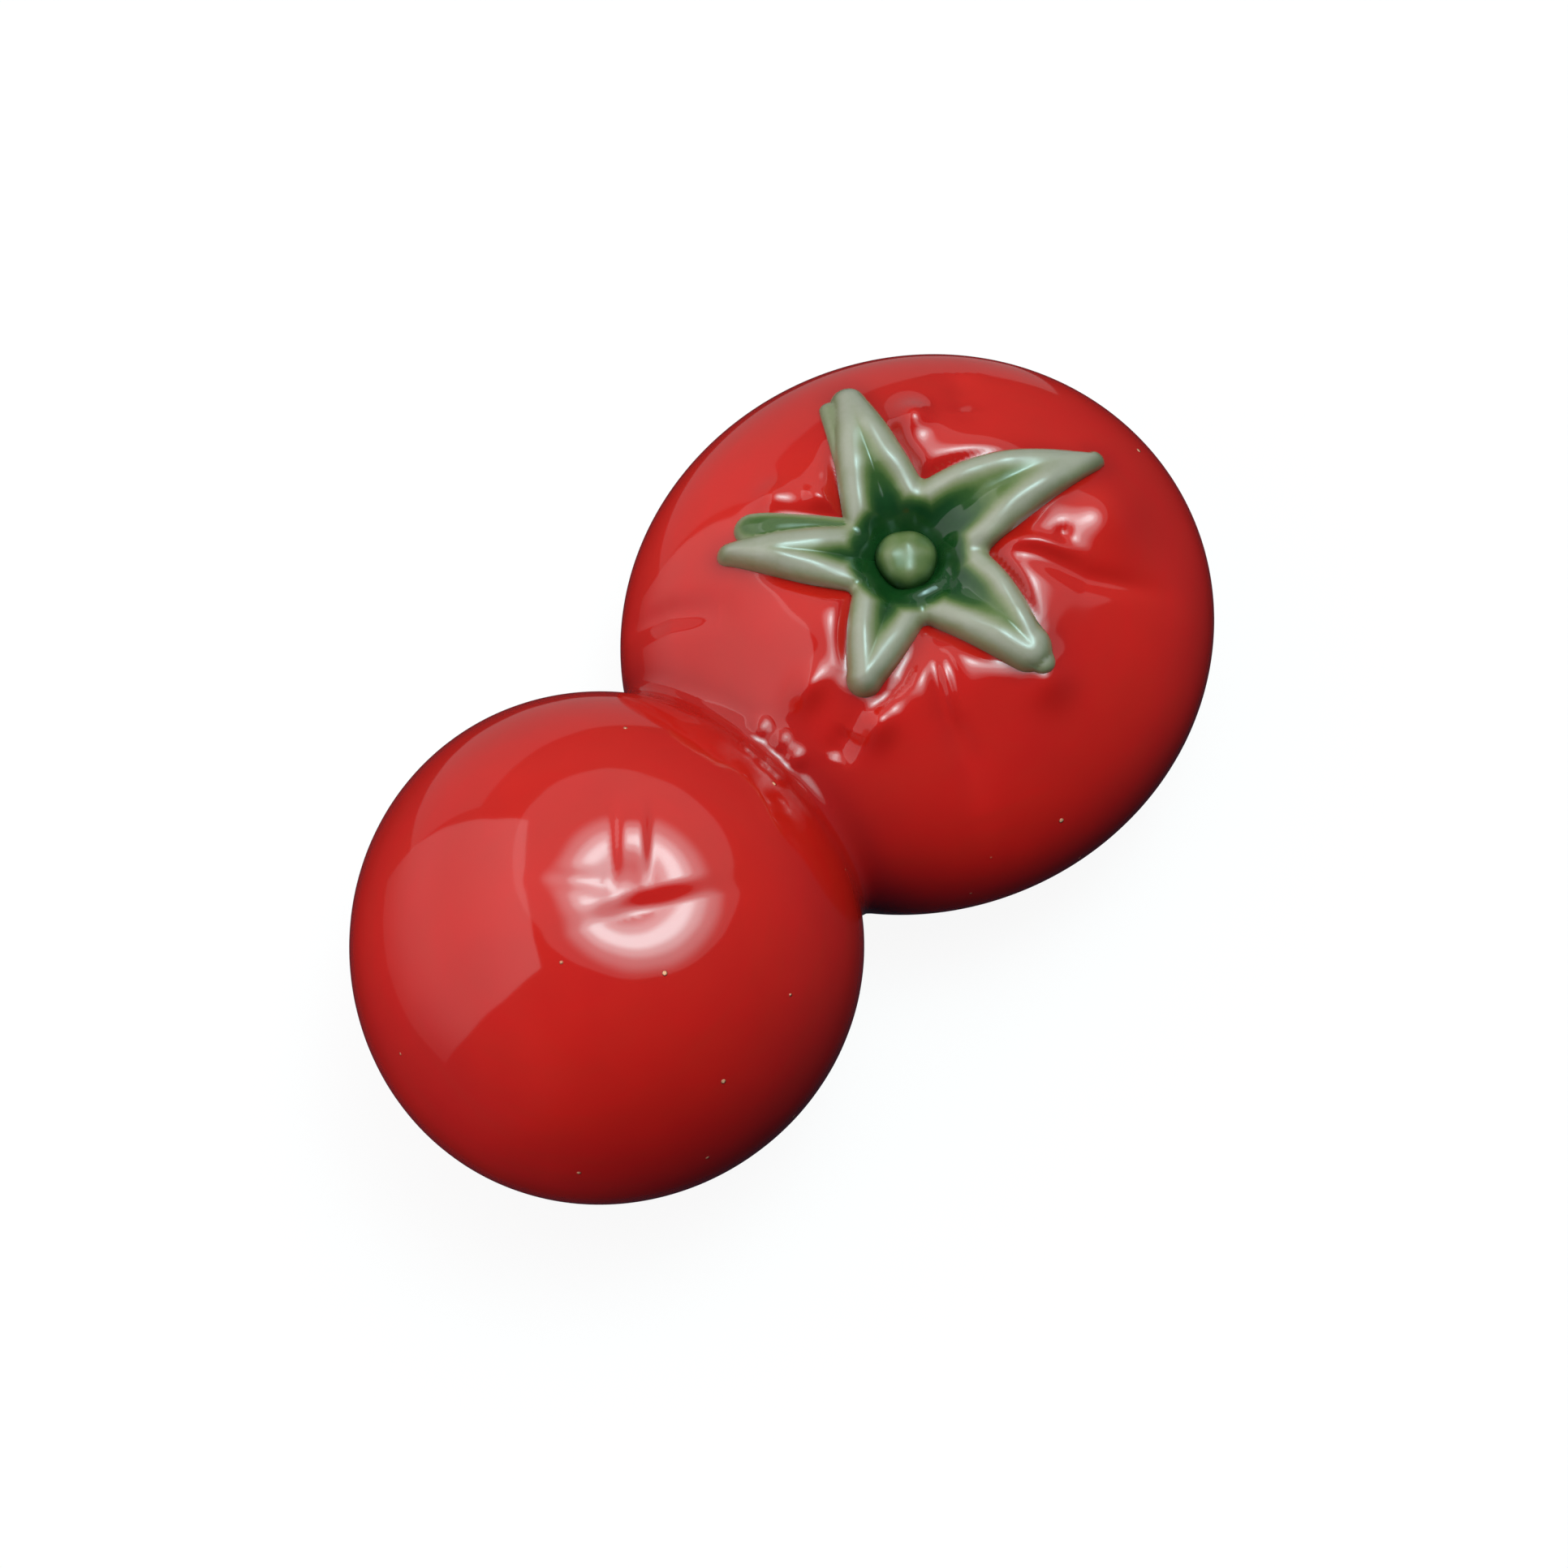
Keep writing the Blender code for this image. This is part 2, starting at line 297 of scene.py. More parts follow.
# The blossom end: a shallow dent, a step down across it and a short ridge above the step. Places are in
# millimetres from the front tomato's axis.
DIMPLE = (1.4, -0.8)
DIMPLE_DEPTH = 0.50
DIMPLE_WIDTH = 2.1
STEP = ((-0.5, -0.8), (3.9, -3.4))
STEP_HEIGHT = 0.40
STEP_WIDTH = 0.75
STEP_FADE = 3.0
RIDGE = ((2.4, -0.2), (5.4, 2.6))
RIDGE_HEIGHT = 0.21
RIDGE_WIDTH = 0.85
PLEAT = (((0.6, 0.3), (-0.4, 1.5), (-1.6, 3.0)), -0.09, 0.65)
SHOULDER_RIDGE = (((10.7, 0.6), (10.6, -1.6), (9.9, -3.2), (9.5, -4.6)), 0.06, 0.42)
# Beads of slip left in the joint: their places from the front tomato's axis, and their heights.
BEADS = ((13.9, 1.25, 15.3), (14.1, -0.1, 15.4), (14.0, -1.25, 15.3))
BEAD_HEIGHT = 0.35
BEAD_RADIUS = 0.55


def beside(line, x, y):
    """(how far to the left of the line each point lies, how far along it as a share of its length)."""
    (ax, ay), (bx, by) = line
    length = math.dist(*line)
    left = ((bx - ax) * (y - ay) - (by - ay) * (x - ax)) / length
    along = ((bx - ax) * (x - ax) + (by - ay) * (y - ay)) / length**2
    return left, along


def front_relief(x, y):
    relief = path_relief(*SHOULDER_RIDGE, x, y)
    away = np.hypot(x - DIMPLE[0], y - DIMPLE[1])
    relief = relief - DIMPLE_DEPTH * np.exp(-((away / DIMPLE_WIDTH) ** 2))
    left, along = beside(STEP, x, y)
    below = smoothstep(STEP_WIDTH, -STEP_WIDTH, left)
    nearby = np.exp(-((left / STEP_FADE) ** 2) - ((along - 0.5) / 0.62) ** 2)
    relief = relief - STEP_HEIGHT * below * nearby
    left, along = beside(RIDGE, x, y)
    flat_top = np.exp(-((left / RIDGE_WIDTH) ** 4))
    relief = relief + RIDGE_HEIGHT * flat_top * smoothstep(-0.6, 0.3, along) * smoothstep(1.25, 0.45, along)
    return relief + path_relief(*PLEAT, x, y)


def bead_relief(points):
    relief = 0.0
    for x, y, z in BEADS:
        away = np.linalg.norm(points - np.array([FRONT.x + x, FRONT.y + y, z]), axis=-1)
        relief = relief + BEAD_HEIGHT * np.exp(-((away / BEAD_RADIUS) ** 2))
    return relief


def skin(points):
    """About how far each point is outside the glazed skin of the joined pair."""
    x = points[..., 0]
    y = points[..., 1]
    z = points[..., 2]
    joined = soft_min(distance(FRONT, points), distance(REAR, points), FILLET)
    calyx_x = x - CALYX[0]
    calyx_y = y - CALYX[1]
    edge = np.clip(calyx_edge(calyx_x, calyx_y), 0, None)
    moat = -MOAT_DEPTH * np.exp(-((edge / MOAT_WIDTH) ** 2))
    moat = moat * smoothstep(MOAT_END, MOAT_FULL, np.hypot(calyx_x, calyx_y))
    on_rear = smoothstep(REAR.equator + 0.5, REAR.equator + 3.5, z)
    rear = (rear_relief(calyx_x, calyx_y) + moat) * on_rear * smoothstep(-0.6, 1.2, distance(FRONT, points))
    front = front_relief(x - FRONT.x, y - FRONT.y) * smoothstep(FRONT.equator, FRONT.equator + 3, z)
    front = front * smoothstep(-0.6, 1.2, distance(REAR, points))
    return joined - rear - front - bead_relief(points)


def seam(points):
    """Negative on the front piece's side of the joint."""
    return distance(FRONT, points) - SEAM_OFFSET


def gradient(field, points, step=2e-3):
    parts = []
    for axis in range(3):
        move = np.zeros(3)
        move[axis] = step
        parts.append((field(points + move) - field(points - move)) / (2 * step))
    return np.stack(parts, -1)


def unit(vectors):
    return vectors / np.maximum(np.linalg.norm(vectors, axis=-1, keepdims=True), 1e-12)


def first_root(field, origins, directions, near, far, samples=28, halvings=22):
    """How far along each ray the field first turns positive."""
    low = np.full(len(origins), near)
    high = np.full(len(origins), far)
    found = np.zeros(len(origins), bool)
    for i in range(1, samples + 1):
        reach = near + (far - near) * i / samples
        outside = field(origins + directions * reach) > 0
        fresh = outside & ~found
        high[fresh] = reach
        low[fresh] = reach - (far - near) / samples
        found |= outside
    for _ in range(halvings):
        middle = (low + high) / 2
        outside = field(origins + directions * middle[:, None]) > 0
        high = np.where(outside, middle, high)
        low = np.where(outside, low, middle)
    return (low + high) / 2


# ---------------------------------------------------------------- meshes

def link_mesh(name, points, faces, materials, face_materials=None):
    data = bpy.data.meshes.new(name)
    data.from_pydata((points * MM).tolist(), [], faces)
    for material in materials:
        data.materials.append(material)
    if face_materials is not None:
        data.polygons.foreach_set("material_index", face_materials)
    data.shade_smooth()
    obj = bpy.data.objects.new(name, data)
    bpy.context.scene.collection.objects.link(obj)
    return obj


def band(first, second, columns):
    """Quads between two rings of a grid, each given by the index of its first point."""
    here = np.arange(columns)
    there = (here + 1) % columns
    return np.stack([first + here, second + here, second + there, first + there], -1)


def fan(tip, ring, columns, flip):
    here = ring + np.arange(columns)
    there = ring + (np.arange(columns) + 1) % columns
    tips = np.full(columns, tip)
    return np.stack([tips, there, here] if flip else [tips, here, there], -1)


def set_float(obj, name, values):
    layer = obj.data.attributes.new(name, "FLOAT", "POINT")
    layer.data.foreach_set("value", np.asarray(values, np.float32))


def snap_to_seam(points, picked, flat):
    """Moves the picked points onto the line where the skin and the seam meet. Flat ones keep their height."""
    moved = points[picked].copy()
    level = flat[picked]
    for _ in range(12):
        values = np.stack([skin(moved), seam(moved)], -1)
        slopes = np.stack([gradient(skin, moved), gradient(seam, moved)], 1)
        slopes[level, :, 2] = 0
        square = slopes @ slopes.transpose(0, 2, 1) + 1e-9 * np.eye(2)
        step = (slopes.transpose(0, 2, 1) @ np.linalg.solve(square, values[..., None]))[..., 0]
        length = np.linalg.norm(step, axis=-1, keepdims=True)
        moved -= step * np.minimum(1, 0.3 / np.maximum(length, 1e-9))
    points[picked] = moved


# How many columns a shell's grid has, and how many rings on the crown, under the equator and inside.
Grid = namedtuple("Grid", "columns crown under inner")


def shell_rays(tomato, pole, grid, angles):
    """Where the rays that find a shell's outer face start and how they point: rings round the pole down to
    the equator, then level rings down to the foot."""
    ways = np.stack([np.cos(angles), np.sin(angles)], -1) * lobed(tomato, angles)[:, None]
    centre = np.array([[tomato.x, tomato.y, tomato.equator]])
    shares = np.linspace(0, 1, grid.crown + 1)[1:]
    radii = tomato.radius * np.sin(np.pi / 2 * (0.75 * shares + 0.25 * shares**2))
    starts = [centre]
    aims = [np.array([[pole[0], pole[1], section_height(tomato, np.hypot(*pole)) - tomato.equator]])]
    for radius in radii:
        plan = ways * radius + np.array(pole) * (1 - (radius / tomato.radius) ** 2)
        reach = np.linalg.norm(plan, axis=-1) / lobed(tomato, np.arctan2(plan[:, 1], plan[:, 0]))
        rise = section_height(tomato, reach) - tomato.equator
        aims.append(np.concatenate([plan, rise[:, None]], -1))
        starts.append(np.repeat(centre, grid.columns, 0))
    for height in np.linspace(tomato.equator, FOOT_HEIGHT, grid.under + 1)[1:]:
        plan = ways * section_radius(tomato, height)
        aims.append(np.concatenate([plan, np.zeros((grid.columns, 1))], -1))
        starts.append(np.repeat(np.array([[tomato.x, tomato.y, height]]), grid.columns, 0))
    return np.concatenate(starts), unit(np.concatenate(aims))


def nearest_to_seam(points, grid, on_skin):
    """Picks, for each grid edge that crosses from the skin to the joint's wall, its end nearer to their
    shared line."""
    off_skin = np.abs(skin(points))
    off_seam = np.abs(seam(points))
    other = np.where(on_skin, off_seam, off_skin)
    index = 1 + np.arange(len(points) - 1).reshape(-1, grid.columns)
    edges = (
        (index[:-1].ravel(), index[1:].ravel()),
        (index.ravel(), np.roll(index, -1, 1).ravel()),
    )
    picked = np.zeros(len(points), bool)
    for a, b in edges:
        crossing = on_skin[a] != on_skin[b]
        a = a[crossing]
        b = b[crossing]
        picked[np.where(other[a] <= other[b], a, b)] = True
    return picked


def cut_on_line(quads, picked):
    """Cuts in two each quad that has the seam's line from corner to corner."""
    on_line = picked[quads]
    first = on_line[:, 0] & on_line[:, 2]
    second = on_line[:, 1] & on_line[:, 3] & ~first
    faces = quads[~(first | second)].tolist()
    faces += quads[first][:, [0, 1, 2]].tolist()
    faces += quads[first][:, [0, 2, 3]].tolist()
    faces += quads[second][:, [0, 1, 3]].tolist()
    faces += quads[second][:, [1, 2, 3]].tolist()
    return faces


def inner_wall(tomato, side, grid, angles):
    """The rings of the bare inner face, from the foot ring's inner edge up to the crown."""
    plain = np.stack([np.cos(angles), np.sin(angles)], -1)

    def level_rays(height):
        return np.repeat(np.array([[tomato.x, tomato.y, height]]), grid.columns, 0)

    def tilted(turn):
        return np.concatenate([plain * math.cos(turn), np.full((grid.columns, 1), math.sin(turn))], -1)

    def cavity(points):
        wall = distance(tomato, points, WALL)
        if side > 0:
            return wall
        return np.maximum(wall, SEAM_OFFSET + REAR_SIDE_WALL - distance(FRONT, points))

    rings = [level_rays(height) + tilted(0) * tomato.opening for height in (FOOT_HEIGHT, FOOT_HEIGHT + WALL)]
    rays = []
    for height in np.linspace(FOOT_HEIGHT + WALL, tomato.equator, grid.inner // 3 + 1):
        rays.append((level_rays(height), tilted(0)))
    for turn in np.linspace(0, np.pi / 2, grid.inner + 1)[1:-1]:
        rays.append((level_rays(tomato.equator), tilted(turn)))
    for start, way in rays:
        reach = first_root(cavity, start, way, 1.0, tomato.radius)
        rings.append(start + way * reach[:, None])
    return rings


def shell(name, tomato, side, pole, grid, materials):
    """One tomato as a closed shell. side is 1 for the front piece and -1 for the rear one, and pole is
    where the grid's pole lies in plan from the tomato's axis."""

    def inside(points):
        return np.maximum(skin(points), side * seam(points))

    columns = grid.columns
    angles = 2 * np.pi * np.arange(columns) / columns
    starts, aims = shell_rays(tomato, pole, grid, angles)
    reach = first_root(inside, starts, aims, 0.25 * tomato.radius, 1.35 * tomato.radius)
    outer = starts + aims * reach[:, None]
    outer_count = len(outer)
    last_ring = outer_count - columns
    on_skin = np.abs(skin(outer)) <= np.abs(seam(outer))
    picked = nearest_to_seam(outer, grid, on_skin)
    snap_to_seam(outer, picked, np.arange(outer_count) >= last_ring)

    ring_starts = range(1, last_ring, columns)
    quads = np.concatenate([band(start, start + columns, columns) for start in ring_starts])
    faces = fan(0, 1, columns, False).tolist() + cut_on_line(quads, picked)
    outer_faces = len(faces)
    inner = inner_wall(tomato, side, grid, angles)
    top = np.array([[tomato.x, tomato.y, tomato.height - WALL]])
    points = np.concatenate([outer] + inner + [top])
    for start in range(last_ring, len(points) - 1 - columns, columns):
        faces += band(start, start + columns, columns).tolist()
    faces += fan(len(points) - 1, len(points) - 1 - columns, columns, True).tolist()

    face_materials = np.zeros(len(faces), np.int32)
    face_materials[outer_faces:] = 1
    obj = link_mesh(name, points, faces, materials, face_materials)
    set_skin_normals(obj, outer, faces[:outer_faces], on_skin, picked, side)
    pool_and_painted_shade = np.zeros(len(points))
    pool_and_painted_shade[:outer_count] = crease_share(outer)
    set_float(obj, "pool_and_painted_shade", pool_and_painted_shade)
    return obj


def crease_share(points):
    """1 deep in the joint and in the folds beside the calyx and 0 on open skin: there the red glaze gets
    painted shade, a darker red.
    """
    joint = np.exp(-((np.abs(distance(FRONT, points)) + np.abs(distance(REAR, points))) / 1.6) ** 2)
    edge = star_distance(points[:, 0] - CALYX[0], points[:, 1] - CALYX[1])
    return np.clip(joint + 0.6 * np.exp(-((np.clip(edge, 0, None) / 0.8) ** 2)), 0, 1)


def set_skin_normals(obj, points, glazed, on_skin, picked, side):
    """Gives the glazed faces the skin's exact normals, so that both pieces shade as one surface. Faces on
    the joint's wall get the wall's normals, and the bare faces keep their own."""
    data = obj.data
    data.set_sharp_from_angle(angle=math.radians(30))
    corners = np.concatenate([np.array(face) for face in glazed])
    owners = np.repeat(np.arange(len(glazed)), [len(face) for face in glazed])
    on_wall = ~on_skin & ~picked
    wall_faces = np.zeros(len(glazed), bool)
    wall_faces[owners[on_wall[corners]]] = True
    skin_normals = unit(gradient(skin, points))
    wall_normals = unit(gradient(seam, points)) * side
    normals = np.zeros((len(data.loops), 3))
    normals[:len(corners)] = np.where(
        wall_faces[owners][:, None], wall_normals[corners], skin_normals[corners]
    )
    data.normals_split_custom_set(normals.tolist())


# ---------------------------------------------------------------- materials

def linear(red, green, blue):
    """A colour in linear light from its usual 0 to 255 values."""
    channels = []
    for value in (red, green, blue):
        share = value / 255
        channels.append(share / 12.92 if share < 0.0405 else ((share + 0.055) / 1.055) ** 2.4)
    return tuple(channels)


class Nodes:
    """A short way to write a node tree: each call makes one node and returns its first output."""

    def __init__(self, name):
        self.material = bpy.data.materials.new(name)
        self.material.use_nodes = True
        self.tree = self.material.node_tree
        self.shader = self.tree.nodes["Principled BSDF"]

    def put(self, value, socket):
        if isinstance(value, bpy.types.NodeSocket):
            self.tree.links.new(value, socket)
        elif value is not None:
            socket.default_value = value

    def place(self):
        return self.tree.nodes.new("ShaderNodeTexCoord").outputs["Object"]

    def attribute(self, name):
        node = self.tree.nodes.new("ShaderNodeAttribute")
        node.attribute_name = name
        return node.outputs["Fac"]

    def math(self, operation, a, b=None, clamp=False):
        node = self.tree.nodes.new("ShaderNodeMath")
        node.operation = operation
        node.use_clamp = clamp
        self.put(a, node.inputs[0])
        self.put(b, node.inputs[1])
        return node.outputs[0]

    def stretch(self, vector, scale, rotation=(0, 0, 0)):
        node = self.tree.nodes.new("ShaderNodeMapping")
        self.put(vector, node.inputs["Vector"])
        node.inputs["Scale"].default_value = scale
        node.inputs["Rotation"].default_value = rotation
        return node.outputs[0]

    def noise(self, vector, scale, detail=3.0, roughness=0.5, distortion=0.0):
        node = self.tree.nodes.new("ShaderNodeTexNoise")
        self.put(vector, node.inputs["Vector"])
        node.inputs["Scale"].default_value = scale
        node.inputs["Detail"].default_value = detail
        node.inputs["Roughness"].default_value = roughness
        node.inputs["Distortion"].default_value = distortion
        return node.outputs["Fac"]

    def cells(self, vector, scale):
        node = self.tree.nodes.new("ShaderNodeTexVoronoi")
        self.put(vector, node.inputs["Vector"])
        node.inputs["Scale"].default_value = scale
        return node.outputs["Distance"]

    def ramp(self, value, stops):
        node = self.tree.nodes.new("ShaderNodeValToRGB")
        self.put(value, node.inputs[0])
        elements = node.color_ramp.elements
        while len(elements) < len(stops):
            elements.new(0.5)
        for element, (place, colour) in zip(elements, stops):
            element.position = place
            element.color = (*colour, 1.0)
        return node.outputs[0]

    def grey(self, value, low, high, low_value=0.0, high_value=1.0):
        return self.ramp(value, ((low, (low_value,) * 3), (high, (high_value,) * 3)))

    def mix(self, share, a, b):
        node = self.tree.nodes.new("ShaderNodeMix")
        node.data_type = "RGBA"
        self.put(share, node.inputs["Factor"])
        for value, socket in ((a, node.inputs[6]), (b, node.inputs[7])):
            self.put((*value, 1.0) if isinstance(value, tuple) else value, socket)
        return node.outputs[2]

    def bump(self, height, distance, strength=1.0, normal=None):
        node = self.tree.nodes.new("ShaderNodeBump")
        self.put(height, node.inputs["Height"])
        node.inputs["Distance"].default_value = distance
        node.inputs["Strength"].default_value = strength
        self.put(normal, node.inputs["Normal"])
        return node.outputs[0]

    def finish(self, colour, roughness, normal=None, **others):
        self.put((*colour, 1.0) if isinstance(colour, tuple) else colour, self.shader.inputs["Base Color"])
        self.put(roughness, self.shader.inputs["Roughness"])
        self.put(normal, self.shader.inputs["Normal"])
        for name, value in others.items():
            self.put(value, self.shader.inputs[name.replace("_", " ")])
        return self.material


def red_glaze():
    made = Nodes("red_glaze")
    place = made.place()
    cloud = made.noise(place, 90, 3, 0.55)
    streak = made.noise(made.stretch(place, (1, 1, 4), (0.3, 0.2, 0.7)), 260, 4, 0.6, 0.4)
    pool_and_painted_shade = made.attribute("pool_and_painted_shade")
    base = made.ramp(cloud, ((0.30, linear(182, 23, 16)), (0.70, linear(198, 27, 17))))
    base = made.mix(made.grey(streak, 0.35, 0.75, 0.0, 0.25), base, linear(170, 38, 20))
    # Painted shade: a darker red in the joint between the tomatoes and in the folds beside the calyx.
    base = made.mix(made.math("MULTIPLY", pool_and_painted_shade, 0.45), base, linear(118, 8, 10))
    # Tiny pits in the glaze, each with a pale painted glint in it.
    pit_with_painted_glint = made.grey(made.cells(place, 300), 0.030, 0.046, 1.0, 0.0)
    base = made.mix(pit_with_painted_glint, base, linear(236, 170, 130))
    wave = made.noise(place, 180, 2, 0.4)
    normal = made.bump(wave, 0.00006)
    normal = made.bump(pit_with_painted_glint, 0.00012, 1.0, normal)
    roughness = made.grey(cloud, 0.2, 0.8, 0.05, 0.09)
    return made.finish(base, roughness, normal, IOR=1.52)


def bare_clay():
    made = Nodes("bare_clay")
    place = made.place()
    grain = made.noise(place, 1600, 5, 0.65)
    cloud = made.noise(place, 160, 3)
    base = made.ramp(cloud, ((0.3, linear(206, 192, 172)), (0.7, linear(226, 214, 197))))
    base = made.mix(made.grey(grain, 0.55, 0.75, 0.0, 0.3), base, linear(168, 150, 128))
    return made.finish(base, 0.85, made.bump(grain, 0.00008))


GREEN_STOPS = (
    (0.00, linear(150, 147, 130)),
    (0.20, linear(128, 130, 99)),
    (0.45, linear(90, 106, 59)),
    (0.70, linear(48, 78, 33)),
    (1.00, linear(17, 58, 22)),
)


def green_glaze():
    made = Nodes("green_glaze")
    place = made.place()
    pool_and_painted_shade = made.attribute("pool_and_painted_shade")
    mottle = made.noise(place, 900, 4, 0.6)
    shift = made.math("MULTIPLY", made.math("SUBTRACT", mottle, 0.5), 0.22)
    base = made.ramp(made.math("ADD", pool_and_painted_shade, shift, True), GREEN_STOPS)
    wave = made.noise(place, 420, 2, 0.4)
    normal = made.bump(wave, 0.00005)
    return made.finish(base, made.attribute("dull"), normal, IOR=1.52)


def felt(name, dark, light):
    made = Nodes(name)
    place = made.place()
    fibre = made.noise(made.stretch(place, (1, 1, 2)), 2600, 5, 0.7, 1.5)
    tuft = made.noise(place, 700, 4, 0.6)
    base = made.ramp(fibre, ((0.3, dark), (0.75, light)))
    normal = made.bump(tuft, 0.00015)
    normal = made.bump(fibre, 0.0001, 1.0, normal)
    return made.finish(base, 0.95, normal, Sheen_Weight=0.5, Sheen_Roughness=0.5)


def nickel():
    made = Nodes("nickel")
    place = made.place()
    ring = made.noise(made.stretch(place, (1, 1, 14)), 900, 4, 0.6)
    stain = made.noise(place, 160, 3)
    base = made.ramp(stain, ((0.3, linear(196, 192, 184)), (0.7, linear(214, 211, 204))))
    roughness = made.grey(ring, 0.3, 0.8, 0.18, 0.34)
    return made.finish(base, roughness, made.bump(ring, 0.00001), Metallic=1.0)


def adhesive():
    made = Nodes("adhesive")
    place = made.place()
    cloud = made.noise(place, 240, 4, 0.6)
    bubble = made.cells(place, 700)
    base = made.ramp(cloud, ((0.3, linear(214, 202, 164)), (0.7, linear(228, 219, 188))))
    normal = made.bump(made.grey(bubble, 0.08, 0.2), 0.00008)
    return made.finish(base, 0.38, normal)


def board():
    made = Nodes("board")
    place = made.place()
    fibre = made.noise(made.stretch(place, (1, 3, 1)), 1500, 5, 0.7)
    cloud = made.noise(place, 220, 3)
    base = made.ramp(cloud, ((0.3, linear(150, 134, 112)), (0.7, linear(172, 156, 132))))
    base = made.mix(made.grey(fibre, 0.5, 0.8, 0.0, 0.5), base, linear(112, 96, 76))
    return made.finish(base, 0.92, made.bump(fibre, 0.00006))


# ---------------------------------------------------------------- the ceramic pieces

# The places of the grids' poles: at the blossom end, and under the stub.
FRONT_POLE = (1.7, -1.8)
REAR_POLE = (CALYX[0] - REAR.x, CALYX[1] - REAR.y)
FRONT_GRID = Grid(columns=256, crown=60, under=16, inner=9)
REAR_GRID = Grid(columns=400, crown=108, under=16, inner=9)
red = red_glaze()
clay = bare_clay()
green = green_glaze()

front_piece = shell("front_body", FRONT, 1, FRONT_POLE, FRONT_GRID, [red, clay])
rear_piece = shell("rear_body", REAR, -1, REAR_POLE, REAR_GRID, [red, clay])
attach(front_piece, BODY)
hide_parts("front_tomato")
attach(rear_piece, BODY)
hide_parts("rear_tomato")


# ---------------------------------------------------------------- the calyx and its stub

def crown_surface(x, y):
    """The height of the rear crown's skin at points given from the calyx's centre."""
    plan_x = x + CALYX[0] - REAR.x
    plan_y = y + CALYX[1] - REAR.y
    scale = lobed(REAR, np.arctan2(plan_y, plan_x))
    top = section_height(REAR, np.hypot(plan_x, plan_y) / scale)
    starts = np.stack([x + CALYX[0], y + CALYX[1], top - 3.0], -1).reshape(-1, 3)
    up = np.repeat(np.array([[0.0, 0.0, 1.0]]), len(starts), 0)
    reach = first_root(skin, starts, up, 0.0, 6.0)
    return (starts[:, 2] + reach).reshape(np.shape(x))


PLATE_HEIGHT = 1.35
LEDGE_HEIGHT = 0.70
EDGE_ROUND = 1.15
CHANNEL_DEPTH = 0.42
CHANNEL_REACH = 2.5
CUP_REACH = 3.2
CUP_SLOPE = 0.50
CUP_SOFTNESS = 0.5
FLOOR_HEIGHT = 0.12
WAVE_HEIGHT = 0.07
# The cup's lip stands up on one side of the stub.
LIP_PLACE = (263, 2.05)
LIP_REACH = 2.1
LIP_HEIGHT = 0.55
LIP_WIDTH = 0.36
LIP_LENGTH = 1.2
CALYX_COLUMNS = 440
CALYX_RINGS = 42


def rounded(inside, radius):
    """The profile of a rounded edge: 0 at the edge and 1 once a radius inside it."""
    share = 1 - np.clip(inside / radius, 0, 1)
    return np.sqrt(1 - share**2)


def soft_ramp(value, softness):
    """0 below zero and the value itself above it, with a smooth turn."""
    bent = (value + softness) ** 2 / (4 * softness)
    return np.where(value < -softness, 0, np.where(value > softness, value, bent))


def calyx_rise(x, y):
    """(how high the calyx stands above the skin, how much glaze pools there, with painted shade on its outer
    sides).
    """
    reach = np.hypot(x, y)
    inside = -star_distance(x, y)
    hub = smoothstep(6.0, 3.2, reach)
    wave = WAVE_HEIGHT * np.sin(1.7 * x + 0.5) * np.sin(1.9 * y + 1.3)
    plate = (PLATE_HEIGHT + wave) * rounded(inside, EDGE_ROUND)
    channel = smoothstep(0.95, CHANNEL_REACH, inside)
    plate = plate - CHANNEL_DEPTH * channel * (1 - 0.5 * smoothstep(6.0, 9.5, reach))
    plate = plate - CUP_SLOPE * soft_ramp(CUP_REACH - reach, CUP_SOFTNESS)
    lip_x, lip_y = polar(*LIP_PLACE)
    beside_lip = np.hypot(x - lip_x, y - lip_y)
    lip = np.exp(-(((reach - LIP_REACH) / LIP_WIDTH) ** 2) - (beside_lip / LIP_LENGTH) ** 2)
    plate = plate + LIP_HEIGHT * lip
    plate = np.maximum(plate, FLOOR_HEIGHT)
    # Painted shade: the plate's outer side is a darker olive than its top.
    side = 0.22 * smoothstep(0.75, 0.10, inside)
    floor = smoothstep(0.95, 2.1, inside) * (0.50 + 0.50 * hub) * (1 - 0.75 * smoothstep(6.5, 9.5, reach))
    pool_and_painted_shade = np.maximum(side, floor)
    pool_and_painted_shade = np.maximum(pool_and_painted_shade, smoothstep(3.7, 2.7, reach))
    plate = np.where(inside > 0, plate, 0)
    rise = plate
    for ledge, tone in zip(LEDGES, LEDGE_POOLS):
        ledge_inside = -leaf_distance(ledge, x, y)
        seen = (ledge_inside > 0) & (inside < EDGE_ROUND / 2)
        height = np.where(seen, LEDGE_HEIGHT * rounded(ledge_inside, 0.9), 0)
        lower = height > rise
        # Each ledge has its own tone, with the same painted shade, a darker olive, along its outer side.
        shade = tone * smoothstep(0.10, 0.55, ledge_inside) + 0.2 * smoothstep(0.45, 0.10, ledge_inside)
        pool_and_painted_shade = np.where(lower, shade, pool_and_painted_shade)
        rise = np.maximum(rise, height)
    return rise, np.clip(pool_and_painted_shade, 0, 1)


